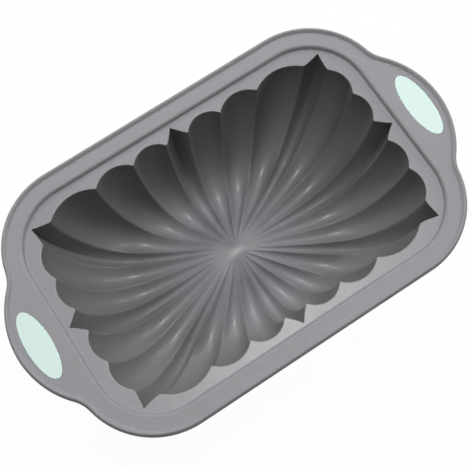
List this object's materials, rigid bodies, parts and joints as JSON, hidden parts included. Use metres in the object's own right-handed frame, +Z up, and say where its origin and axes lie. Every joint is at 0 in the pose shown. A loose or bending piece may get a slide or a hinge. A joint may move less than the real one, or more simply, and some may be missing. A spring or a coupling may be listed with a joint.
{
  "type": "fluted loaf pan",
  "caption": "Silicone loaf pan with a fluted cavity whose flutes meet at the centre, a wire-stiffened flanged rim and an inlaid grip in each end handle.",
  "frame": {"origin": "middle of the pan's footprint, on the surface that it stands on", "axes": "+Z up out of the cavity, +X along the pan from one handle to the other"},
  "size_m": [0.29, 0.172, 0.0808],
  "materials": {
    "grey_silicone": "satin moulded silicone",
    "mint_silicone": "satin moulded silicone",
    "frame_steel": "drawn wire"
  },
  "bodies": {
    "root": {"pan_body": "grey_silicone", "rim_frame": "frame_steel", "grip_left": "mint_silicone", "grip_right": "mint_silicone"}
  },
  "joints": []
}
